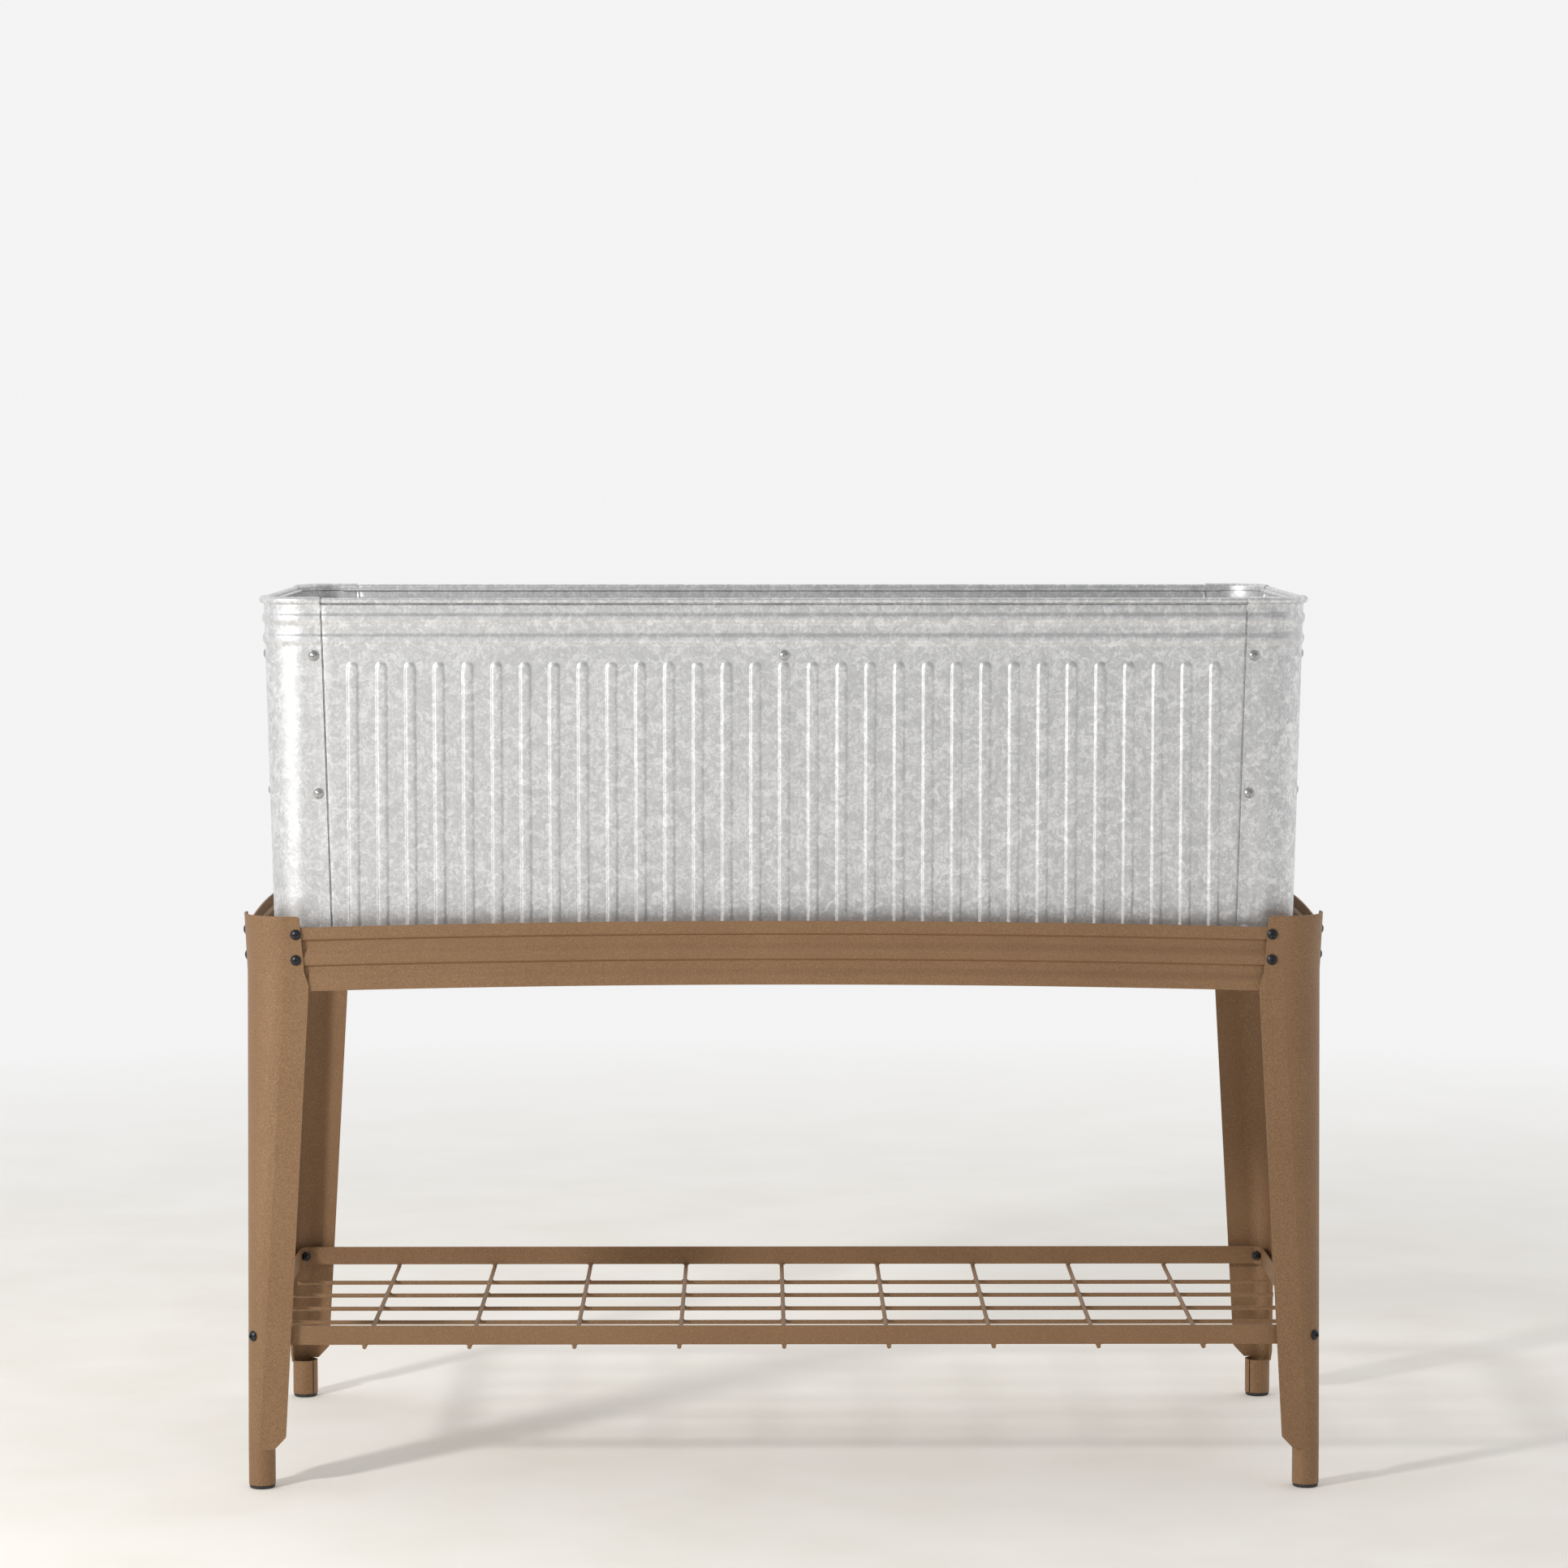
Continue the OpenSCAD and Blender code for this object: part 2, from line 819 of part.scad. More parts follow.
module tub_front_panel() { color("silver") tub_panel(2); }
module tub_back_panel() { color("silver") tub_panel(0); }
module tub_left_panel() { color("silver") tub_panel(1); }
module tub_right_panel() { color("silver") tub_panel(3); }
module tub_corner_front_left() { color("lightgray") tub_corner(-1, -1); }
module tub_corner_front_right() { color("lightgray") tub_corner(1, -1); }
module tub_corner_back_left() { color("lightgray") tub_corner(-1, 1); }
module tub_corner_back_right() { color("lightgray") tub_corner(1, 1); }

tub_front_panel();
tub_back_panel();
tub_left_panel();
tub_right_panel();
tub_corner_front_left();
tub_corner_front_right();
tub_corner_back_left();
tub_corner_back_right();
tub_floor_pan();
tub_brace();
tub_screws();
tub_nuts();
leg(-1, -1);  // leg_front_left
leg(1, -1);  // leg_front_right
leg(-1, 1);  // leg_back_left
leg(1, 1);  // leg_back_right
foot(-1, -1);  // foot_front_left
foot(1, -1);  // foot_front_right
foot(-1, 1);  // foot_back_left
foot(1, 1);  // foot_back_right
apron(2);  // apron_front
apron(0);  // apron_back
apron(1);  // apron_left
apron(3);  // apron_right
support_bar(-bar_x);  // support_bar_left
support_bar(0);  // support_bar_middle
support_bar(bar_x);  // support_bar_right
apron_screws();
apron_nuts();
shelf_frame();
shelf_cross_wires();
shelf_long_wires();
shelf_screws();
shelf_spacers();
shelf_nuts();
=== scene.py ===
import json
import math

import bpy
import numpy as np
from mathutils import Euler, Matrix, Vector


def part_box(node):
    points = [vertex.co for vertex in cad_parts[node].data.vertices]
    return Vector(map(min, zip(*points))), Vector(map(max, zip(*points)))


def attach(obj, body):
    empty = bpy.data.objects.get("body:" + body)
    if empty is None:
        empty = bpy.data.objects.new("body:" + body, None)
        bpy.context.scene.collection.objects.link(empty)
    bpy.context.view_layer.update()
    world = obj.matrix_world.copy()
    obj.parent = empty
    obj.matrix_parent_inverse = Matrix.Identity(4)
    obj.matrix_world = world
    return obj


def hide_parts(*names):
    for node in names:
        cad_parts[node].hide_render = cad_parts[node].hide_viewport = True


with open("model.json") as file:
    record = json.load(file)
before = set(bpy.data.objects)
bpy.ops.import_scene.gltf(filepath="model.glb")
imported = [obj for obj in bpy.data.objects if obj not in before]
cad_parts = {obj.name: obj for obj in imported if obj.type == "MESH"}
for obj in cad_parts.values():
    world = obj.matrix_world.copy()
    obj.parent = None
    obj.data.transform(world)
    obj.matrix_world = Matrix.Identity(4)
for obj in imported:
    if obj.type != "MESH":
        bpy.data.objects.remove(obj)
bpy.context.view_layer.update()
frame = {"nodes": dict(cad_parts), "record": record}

MM = 0.001

# ---- sizes in millimetres, the same as the frame's ----

TUB_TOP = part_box("tub_corner_front_left")[1].z / MM
TUB_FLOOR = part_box("tub_floor_pan")[0].z / MM
STAND_HALF = (489, 215)    # from the middle to the outer faces of the legs
SHEET = 0.8                # thickness of the galvanised sheet
LEAN = math.tan(math.radians(1.45))
INSET = 11.5               # from a leg face to the rim
RIM_R = 2.5                # outer radius of the rolled rim
RIM_Z = TUB_TOP - RIM_R - SHEET
RIM_U = RIM_R - SHEET
TUB_HALF = [h - INSET - 2 * RIM_R for h in STAND_HALF]
CORNER_R = 38
SEAM_IN = 53.5             # from a side of the tub to the seam of a corner piece
PANEL_LAP = 14             # length of a panel under a corner piece
SEAM_DEPTH = 1.8           # depth of the channel in a panel beside a seam
NECK = 2.0                 # depth of the neck under the rolled rim of a panel
ROLL_ROWS = 18             # rows of points round the rolled rim
RIM_CURL = -60             # where the rolled edge of a panel ends, degrees
HEM = 3.2                  # length of the corner edge that lies down inside the rim
SEAM_LIFT = 0.3            # how far the edge of a corner piece stands off the panel
NEST = 0.05                # clearance between nested sheets
BEADS = (TUB_TOP - 20, TUB_TOP - 38.5)
BEAD_H = 1.9               # how far a bead stands out
BEAD_EDGE = (1.6, 5.9)     # from the middle of a bead, where its slope starts and ends
RIB_PITCH = 26
RIB_H = 1.5                # how far a rib stands out, without its crown
RIB_CROWN = 0.25
RIB_HALF = 4.65            # half the width of a rib
RIB_MARGIN = 2             # least distance from a rib to a seam
RIB_REACH = 4.3            # from the middle of a rib to the middle of its slope
RIB_SLOPE = 1.15           # half the width of that slope
RIB_TOP = TUB_TOP - 60
RIB_END = TUB_FLOOR + 12
LEG_SHEET = 1.8
APRON_SHEET = 1.5
APRON_H = 58.2
APRON_DROP = 17.7          # how far an apron reaches below the bend of the legs
APRON_ARCH = 6.2           # rise of an apron from its ends to its middle
APRON_SHORT = 42           # from the outside of a leg to the end of an apron
GROOVE = 3                 # depth of the two grooves
GROOVE_LOW = 4.4           # half the width of the slope below a groove
GROOVE_HIGH = 1.3          # half the width of the slope above it
KINK_Z = 474               # height of the bend of the legs
FLARE = math.radians(2.8)  # outward lean of the aprons
WIRE_D = 4
CROSS_WIRES = 9            # wires from front to back
LONG_WIRES = 5             # wires from side to side
RAIL_WELD = 2.2            # from the end of a cross wire to its weld on the frame
CROSSING_LUMP = (3.2, 3.2, 1.5)    # half sizes of a weld lump
RAIL_LUMP = (3.1, 1.9, 1.3)


# ---- meshes ----

def smooth_step(a, b, x):
    """0 below a, 1 above b, and 3t^2 - 2t^3 between them."""
    t = np.clip((x - a) / (b - a), 0, 1)
    return t * t * (3 - 2 * t)


def turn(points, quarter):
    """Turns points by quarter turns about Z: 0 back, 1 left, 2 front, 3 right."""
    c, s = [(1, 0), (0, 1), (-1, 0), (0, -1)][quarter]
    x, y, z = np.moveaxis(points, -1, 0)
    return np.stack([c * x - s * y, s * x + c * y, z], -1)


def add_mesh(name, points, faces, finish, body, sharp=None):
    """Makes a piece from points in millimetres and faces, shaded smooth but for the edges
    that bend more than sharp degrees."""
    mesh = bpy.data.meshes.new(name)
    mesh.from_pydata((points * MM).tolist(), [], faces)
    mesh.shade_smooth()
    if sharp:
        mesh.set_sharp_from_angle(angle=math.radians(sharp))
    mesh.materials.append(FINISH[finish])
    piece = bpy.data.objects.new(name, mesh)
    bpy.context.scene.collection.objects.link(piece)
    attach(piece, body)
    return piece


def sheet_metal(node, middle, thickness, finish, body):
    """A sheet of even thickness about a grid of middle points, in place of a node: each
    side is the grid moved half the thickness along its normal, the cross product of its two
    directions, and a strip of quads closes the border."""
    rows, cols = middle.shape[:2]
    across = np.gradient(middle, axis=1)
    down = np.gradient(middle, axis=0)
    normal = np.cross(across, down)
    normal /= np.linalg.norm(normal, axis=2, keepdims=True)
    front = middle + normal * thickness / 2
    rear = middle - normal * thickness / 2
    points = np.concatenate([front.reshape(-1, 3), rear.reshape(-1, 3)])
    index = np.arange(rows * cols).reshape(rows, cols)
    a, b, c, d = index[:-1, :-1], index[:-1, 1:], index[1:, 1:], index[1:, :-1]
    face = np.stack([a, b, c, d], -1).reshape(-1, 4)
    border = np.concatenate([index[0, :-1], index[:-1, -1], index[-1, :0:-1], index[:0:-1, 0]])
    after = np.roll(border, -1)
    under = rows * cols
    edge = np.stack([after, border, border + under, after + under], -1)
    quads = np.concatenate([face, face[:, ::-1] + under, edge])
    piece = add_mesh(node + "_sheet", points, quads.tolist(), finish, body, sharp=40)
    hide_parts(node)


def spread(*stretches):
    """Numbers along a line: each stretch is (end, steps) after the first number."""
    values = [stretches[0]]
    for end, steps in stretches[1:]:
        values.extend(np.linspace(values[-1], end, steps + 1)[1:])
    return np.array(values)


# ---- tub ----

def wall_at(z):
    """How far the leaning wall lies inside its place at the rim, at height z."""
    return -(RIM_Z - z) * LEAN


def half_depth(side):
    """Distance of a wall from the middle of the tub."""
    return TUB_HALF[1 - side % 2]


def bead_height(z):
    """Two round beads: the sum of a smooth hump round each bead's height."""
    return sum(BEAD_H * (1 - smooth_step(*BEAD_EDGE, abs(z - b))) for b in BEADS)


def wall_profile(roll_start, roll_end, roll_r, offset, *below_roll):
    """Profile of a wall from the tub floor to the end of its rolled rim, as distances
    outward and heights: the leaning wall with its beads, its last stretches as given, then
    an arc about the middle of the rim from one angle to the other."""
    z = spread(TUB_FLOOR, (RIB_END - 4, 2), (RIB_END + 12, 9), (RIB_TOP - 12, 5),
               (RIB_TOP + 4, 12), (BEADS[1] - 7, 2), (BEADS[0] + 7, 28), *below_roll)
    angle = np.radians(np.linspace(roll_start, roll_end, ROLL_ROWS))
    u = np.concatenate([wall_at(z) + bead_height(z) + offset, RIM_U + roll_r * np.cos(angle)])
    return u, np.concatenate([z, RIM_Z + roll_r * np.sin(angle)])


def dents(x, z, side):
    """Slight waves of pressed sheet: three slanted sine waves, at most 0.3 mm high."""
    return 0.12 * (np.sin(x / 61 + 1.3 * side) * np.sin(z / 47 + side)
                   + np.sin(x / 23 + z / 71 + 2.1 * side) * 0.5
                   + np.sin(x / 131 - z / 37 + 0.7 * side))


def rib_height(along, high, n):
    """Height of the ribs, n on each side of the middle one: a smooth step of the distance
    from the middle line of the nearest rib, so its ends come out round, and a slight crown."""
    nearest = np.clip(np.round(along / RIB_PITCH), -n, n) * RIB_PITCH
    line = np.clip(high, RIB_END + RIB_REACH, RIB_TOP - RIB_REACH)
    away = np.hypot(along - nearest, high - line)
    crown = RIB_CROWN * np.clip(1 - (away / RIB_REACH) ** 2, 0, 1)
    return RIB_H * (1 - smooth_step(RIB_REACH - RIB_SLOPE, RIB_REACH + RIB_SLOPE, away)) + crown


def panel_columns(seam, end, last, n):
    """Places along a panel where its columns of points stand: close together on the slopes
    of the ribs and beside the seams."""
    slope = np.array([-6.2, -5.4, -4.9, -4.3, -3.7, -3.2, -2.4, 0])
    ribs = np.arange(-n, n + 1) * RIB_PITCH
    on_ribs = (ribs[:, None] + np.concatenate([slope, -slope[-2::-1]])).ravel()
    flats = (ribs[1:] + ribs[:-1]) / 2
    ends = np.concatenate([spread(last + 7, (seam - 2.4, 4), (seam - 1.9, 1)),
                           seam + np.array([-1.4, -0.9, -0.2, 0.3, 0.8, 1.2]), [end]])
    return np.sort(np.concatenate([on_ribs, flats, ends, -ends]))


def tub_panel(name, side):
    """A pressed panel: its profile carried along the wall, with ribs. A narrow channel runs
    down beside each seam, which leans with the wall, and a neck runs along under the rolled
    rim. The roll is pinched where the channel crosses it."""
    seam = TUB_HALF[side % 2] - SEAM_IN
    end = seam + PANEL_LAP
    n = int((seam + wall_at(TUB_FLOOR) - RIB_HALF - RIB_MARGIN) // RIB_PITCH)
    last = n * RIB_PITCH
    u, z = wall_profile(180, RIM_CURL, RIM_R - SHEET / 2, -SHEET / 2,
                        (RIM_Z - 4.8, 1), (RIM_Z - 1.1, 10), (RIM_Z - 0.6, 1))
    along, high = np.meshgrid(panel_columns(seam, end, last, n), z)
    pull = np.interp(abs(along), [last + 2, seam - 2.4, seam + 1.2, end], [0, 1, 1, 0])
    below = wall_at(np.minimum(high, RIM_Z))
    along = along + np.sign(along) * pull * below
    beside = abs(along) - seam - below
    channel = smooth_step(-1.8, -1.3, beside) - smooth_step(0.1, 0.7, beside)
    on_roll = (np.arange(len(z)) >= len(z) - ROLL_ROWS)[:, None]
    pinch = 1 - 0.45 * channel * on_roll
    down = high - RIM_Z
    neck = NECK * (smooth_step(-4.5, -3.6, down) - smooth_step(-2.3, -1.3, down))
    out = half_depth(side) + RIM_U + (u[:, None] - RIM_U) * pinch - neck * ~on_roll
    flat_wall = 1 - smooth_step(BEADS[0] + 4, RIM_Z - 2, high)
    out += rib_height(along, high, n) + dents(along, high, side) * flat_wall
    out -= SEAM_DEPTH * channel * (1 - smooth_step(RIM_Z - 10, RIM_Z - 5, high))
    middle = turn(np.stack([along, out, RIM_Z + down * pinch], -1), side)
    sheet_metal(name, middle, SHEET, "galvanised", "tub")


def tub_corner(name, sx, sy):
    """A corner piece: the wall profile outside the panels, carried along a flat, a quarter
    turn and another flat. Its edge goes out under the rolled rim, round it, in again and
    down the inside."""
    offset = NEST + SHEET / 2
    roll_r = RIM_R + NEST + SHEET / 2
    u, z = wall_profile(-90, 180, roll_r, offset, (RIM_Z - roll_r - 1, 3))
    fold = np.radians(np.linspace(180, 90, 6)[1:-1])
    at = len(z) - ROLL_ROWS
    u = np.insert(u, at, offset + wall_at(z[at - 1]) + 1 + np.cos(fold))
    z = np.insert(z, at, z[at - 1] + np.sin(fold))
    hem = np.linspace(0, HEM, 5)[1:]
    u = np.concatenate([u, u[-1] - hem * LEAN])
    z = np.concatenate([z, RIM_Z - hem])
    flat = SEAM_IN - CORNER_R
    t = spread(0, (1, 3), (flat, 5), (flat + 90, 28), (2 * flat + 89, 5), (2 * flat + 90, 3))
    along, high = np.meshgrid(t, z)
    out = u[:, None] + 0 * along
    angle = np.radians(np.clip(along - flat, 0, 90))
    lead = np.clip(flat - along, 0, None)
    tail = np.clip(along - flat - 90, 0, None)
    lift = SEAM_LIFT * (smooth_step(flat - 4, flat, lead) + smooth_step(flat - 4, flat, tail))
    radius = CORNER_R + out + lift * (high < RIM_Z - 6)
    lean = -wall_at(np.minimum(high, RIM_Z)) * np.clip(np.maximum(lead, tail) / flat, 0, 1)
    x = TUB_HALF[0] - CORNER_R + radius * np.sin(angle) - lead - lean * (lead > 0)
    y = TUB_HALF[1] - CORNER_R + radius * np.cos(angle) - tail - lean * (tail > 0)
    middle = np.stack([x * sx, y * sy, high], -1)
    sheet_metal(name, middle, SHEET, "galvanised", "tub")


# ---- stand ----

def apron(name, side):
    """A corrugated strip: five bands, the second and the fourth pressed in by smooth steps
    that are wide below and narrow above, carried along a shallow arc and leaning out by the
    flare."""
    half = STAND_HALF[side % 2] - APRON_SHORT
    radius = (half * half + APRON_ARCH * APRON_ARCH) / (2 * APRON_ARCH)
    limit = math.asin(half / radius)
    band = APRON_H / 5
    s = np.linspace(0, APRON_H, 91)
    slopes = ((1, 1, GROOVE_LOW), (2, -1, GROOVE_HIGH), (3, 1, GROOVE_LOW), (4, -1, GROOVE_HIGH))
    depth = sum(sign * smooth_step(k * band - reach, k * band + reach, s)
                for k, sign, reach in slopes)
    theta, across = np.meshgrid(np.linspace(-limit, limit, 81), s)
    x = (radius + across) * np.sin(theta)
    z = APRON_ARCH - APRON_DROP - radius + (radius + across) * np.cos(theta)
    y = -(GROOVE * depth[:, None] + APRON_SHEET / 2) + 0 * x
    out = STAND_HALF[1 - side % 2] - LEG_SHEET + y * math.cos(FLARE) + z * math.sin(FLARE)
    high = KINK_Z - y * math.sin(FLARE) + z * math.cos(FLARE)
    middle = turn(np.stack([x, out, high], -1), side)
    sheet_metal(name, middle, APRON_SHEET, "brown_coat", "stand")


def unit_ball(ring, bands):
    """Points and faces of a ball of radius 1, closed at both poles: its rings lie at even
    steps of latitude, and each has its cosine as radius."""
    phi = np.arange(ring) * 2 * math.pi / ring
    lat = np.linspace(-math.pi / 2, math.pi / 2, bands + 1)[1:-1]
    rings = np.stack([np.outer(np.cos(lat), np.cos(phi)), np.outer(np.cos(lat), np.sin(phi)),
                      np.repeat(np.sin(lat)[:, None], ring, 1)], -1)
    points = np.concatenate([[[0, 0, -1]], rings.reshape(-1, 3), [[0, 0, 1]]])
    k = np.arange(ring)
    after = (k + 1) % ring
    rows = 1 + np.arange(bands - 2)[:, None] * ring
    faces = np.stack([rows + k, rows + after, rows + ring + after, rows + ring + k], -1)
    last = 1 + (bands - 2) * ring
    top = len(points) - 1
    caps = [(0, int(after[i]) + 1, i + 1) for i in range(ring)]
    caps += [(last + i, last + int(after[i]), top) for i in range(ring)]
    return points, faces.reshape(-1, 4).tolist() + caps


def weld_beads():
    """Small weld lumps where the shelf wires cross and meet the frame: squashed balls whose
    size varies a little from one to the next."""
    cross_low, cross_high = [np.array(p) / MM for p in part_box("shelf_cross_wires")]
    long_low, long_high = [np.array(p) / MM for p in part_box("shelf_long_wires")]
    columns = np.linspace(cross_low[0] + WIRE_D / 2, cross_high[0] - WIRE_D / 2, CROSS_WIRES)
    lines = np.linspace(long_low[1] + WIRE_D / 2, long_high[1] - WIRE_D / 2, LONG_WIRES)
    rails = [cross_low[1] + RAIL_WELD, cross_high[1] - RAIL_WELD]
    level = (cross_low[2] + long_high[2]) / 2
    spots = [((x, y, level), CROSSING_LUMP) for x in columns for y in lines]
    spots += [((x, y, cross_high[2]), RAIL_LUMP) for x in columns for y in rails]
    ball, sides = unit_ball(10, 6)
    points, faces = [], []
    for n, (middle, (rx, ry, rz)) in enumerate(spots):
        size = 1 + 0.12 * math.sin(2.7 * n)
        points.append(ball * [rx * size, ry * size, rz] + middle)
        faces += [tuple(i + n * len(ball) for i in face) for face in sides]
    add_mesh("shelf_weld_beads", np.concatenate(points), faces, "brown_coat", "stand")


# ---- materials ----

class Nodes:
    """A node tree with short calls to add a node and to link two sockets."""

    def __init__(self, tree):
        self.tree = tree

    def add(self, kind, inputs=None, **settings):
        node = self.tree.nodes.new("ShaderNode" + kind)
        for key, value in settings.items():
            setattr(node, key, value)
        for key, value in (inputs or {}).items():
            if isinstance(value, bpy.types.NodeSocket):
                self.tree.links.new(value, node.inputs[key])
            else:
                node.inputs[key].default_value = value
        return node

    def math(self, operation, a, b, clamp=False):
        return self.add("Math", {0: a, 1: b}, operation=operation, use_clamp=clamp).outputs[0]

    def between(self, value, low, high, to_low=0.0, to_high=1.0):
        node = self.add("MapRange", {"Value": value, "From Min": low, "From Max": high,
                                     "To Min": to_low, "To Max": to_high})
        return node.outputs["Result"]

    def ramp(self, value, stops):
        node = self.add("ValToRGB", {"Fac": value})
        band = node.color_ramp.elements
        while len(band) < len(stops):
            band.new(0.5)
        for element, (place, colour) in zip(band, stops):
            element.position = place
            element.color = (*colour, 1)
        return node.outputs["Color"]

    def mix(self, factor, a, b):
        node = self.add("Mix", data_type="RGBA")
        for socket, value in ((node.inputs[0], factor), (node.inputs[6], a), (node.inputs[7], b)):
            if isinstance(value, bpy.types.NodeSocket):
                self.tree.links.new(value, socket)
            else:
                socket.default_value = value
        return node.outputs[2]


def effect(name, inputs, outputs):
    """A node group with named inputs (name, default) and outputs (name, kind)."""
    group = bpy.data.node_groups.new(name, "ShaderNodeTree")
    group.interface.new_socket("Place", in_out="INPUT", socket_type="NodeSocketVector")
    for label, value in inputs:
        socket = group.interface.new_socket(label, in_out="INPUT", socket_type="NodeSocketFloat")
        socket.default_value = value
    for label, kind in outputs:
        group.interface.new_socket(label, in_out="OUTPUT", socket_type="NodeSocket" + kind)
    nodes = Nodes(group)
    return group, nodes, group.nodes.new("NodeGroupInput"), group.nodes.new("NodeGroupOutput")


def spangle_group():
    """Zinc crystals: warped cells with a random tone each, smaller cells inside them, and
    short feathery strokes that slant."""
    group, n, given, result = effect(
        "zinc_spangle", [("Crystals per metre", 110.0)],
        [("Tone", "Float"), ("Relief", "Float")])
    place, scale = given.outputs["Place"], given.outputs["Crystals per metre"]
    warp = n.add("TexNoise", {"Vector": place, "Scale": 90.0, "Detail": 3.0})
    push = n.add("VectorMath", {0: warp.outputs["Color"], 1: (0.5, 0.5, 0.5)},
                 operation="SUBTRACT")
    push = n.add("VectorMath", {0: push.outputs[0], "Scale": 0.012}, operation="SCALE")
    warped = n.add("VectorMath", {0: place, 1: push.outputs[0]}, operation="ADD").outputs[0]
    large = n.add("TexVoronoi", {"Vector": warped, "Scale": scale})
    small = n.add("TexVoronoi", {"Vector": warped, "Scale": n.math("MULTIPLY", scale, 2.6)})
    big_tone = n.add("SeparateColor", {"Color": large.outputs["Color"]}).outputs[0]
    small_tone = n.add("SeparateColor", {"Color": small.outputs["Color"]}).outputs[1]
    slant = n.add("Mapping", {"Vector": warped, "Rotation": (0.4, 0.7, 0.6),
                              "Scale": (1.0, 3.2, 0.9)})
    feather = n.add("TexNoise", {"Vector": slant.outputs[0], "Scale": 260.0, "Detail": 4.0,
                                 "Roughness": 0.62})
    cloud = n.add("TexNoise", {"Vector": place, "Scale": 14.0, "Detail": 2.0})
    tone = n.math("MULTIPLY", big_tone, 0.26)
    tone = n.math("ADD", tone, n.math("MULTIPLY", small_tone, 0.2))
    feathers = n.between(feather.outputs[0], 0.33, 0.7)
    tone = n.math("ADD", tone, n.math("MULTIPLY", feathers, 0.4))
    tone = n.math("ADD", tone, n.math("MULTIPLY", cloud.outputs[0], 0.14))
    relief = n.math("ADD", n.math("MULTIPLY", big_tone, 0.35),
                    n.math("MULTIPLY", feather.outputs[0], 0.65))
    group.links.new(tone, result.inputs["Tone"])
    group.links.new(relief, result.inputs["Relief"])
    return group


def grain_group():
    """Fine texture: lumpy grain at one scale, rare bright flecks and broad soft clouds."""
    group, n, given, result = effect(
        "fine_grain", [("Grains per metre", 1500.0)],
        [("Grain", "Float"), ("Flecks", "Float"), ("Cloud", "Float")])
    place, scale = given.outputs["Place"], given.outputs["Grains per metre"]
    grain = n.add("TexNoise", {"Vector": place, "Scale": scale, "Detail": 2.0, "Roughness": 0.6})
    cells = n.add("TexVoronoi", {"Vector": place, "Scale": n.math("MULTIPLY", scale, 0.8)})
    chance = n.add("SeparateColor", {"Color": cells.outputs["Color"]}).outputs[0]
    cloud = n.add("TexNoise", {"Vector": place, "Scale": 9.0, "Detail": 3.0})
    group.links.new(n.between(grain.outputs[0], 0.3, 0.7), result.inputs["Grain"])
    group.links.new(n.between(chance, 0.78, 1.0), result.inputs["Flecks"])
    group.links.new(cloud.outputs[0], result.inputs["Cloud"])
    return group


def material(name):
    """An empty material with its shader, its nodes and the place of each point."""
    made = bpy.data.materials.new(name)
    made.use_nodes = True
    tree = made.node_tree
    shader = tree.nodes["Principled BSDF"]
    nodes = Nodes(tree)
    place = nodes.add("TexCoord").outputs["Object"]
    return made, nodes, shader, place


def use(nodes, group, place, **inputs):
    """Adds a group, fed with the place of each point, and gives its outputs."""
    node = nodes.add("Group", node_tree=group)
    nodes.tree.links.new(place, node.inputs["Place"])
    for label, value in inputs.items():
        node.inputs[label.replace("_", " ")].default_value = value
    return node.outputs


def bump(nodes, height, strength, distance):
    """The normal bent by a height."""
    return nodes.add("Bump", {"Height": height, "Strength": strength,
                              "Distance": distance}).outputs[0]


def galvanised():
    """Zinc-dipped sheet: crystals lighter and darker, the light ones smoother, and faint
    upright lines."""
    made, n, shader, place = material("galvanised_sheet")
    zinc = use(n, SPANGLE, place, Crystals_per_metre=150.0)
    brushed = n.add("Mapping", {"Vector": place, "Scale": (1.0, 1.0, 0.045)})
    lines = n.add("TexNoise", {"Vector": brushed.outputs[0], "Scale": 520.0, "Detail": 3.0})
    tone = n.math("ADD", zinc["Tone"], n.between(lines.outputs[0], 0.3, 0.7, -0.05, 0.05))
    colour = n.ramp(tone, [(0.28, (0.61, 0.613, 0.617)), (0.5, (0.715, 0.717, 0.72)),
                           (0.72, (0.89, 0.89, 0.89))])
    rough = n.between(tone, 0.25, 0.75, 0.50, 0.42)
    n.tree.links.new(colour, shader.inputs["Base Color"])
    n.tree.links.new(rough, shader.inputs["Roughness"])
    n.tree.links.new(bump(n, zinc["Relief"], 0.16, 0.0008), shader.inputs["Normal"])
    shader.inputs["Metallic"].default_value = 0.88
    return made


def zinc_plate():
    """Bright plated steel of the tub's screws and nuts."""
    made, n, shader, place = material("zinc_plate")
    grain = use(n, GRAIN, place, Grains_per_metre=1800.0)
    colour = n.ramp(grain["Cloud"], [(0.3, (0.38, 0.385, 0.39)), (0.7, (0.55, 0.55, 0.545))])
    n.tree.links.new(colour, shader.inputs["Base Color"])
    rough = n.between(grain["Grain"], 0.0, 1.0, 0.22, 0.34)
    n.tree.links.new(rough, shader.inputs["Roughness"])
    n.tree.links.new(bump(n, grain["Grain"], 0.08, 0.0002), shader.inputs["Normal"])
    shader.inputs["Metallic"].default_value = 1.0
    return made


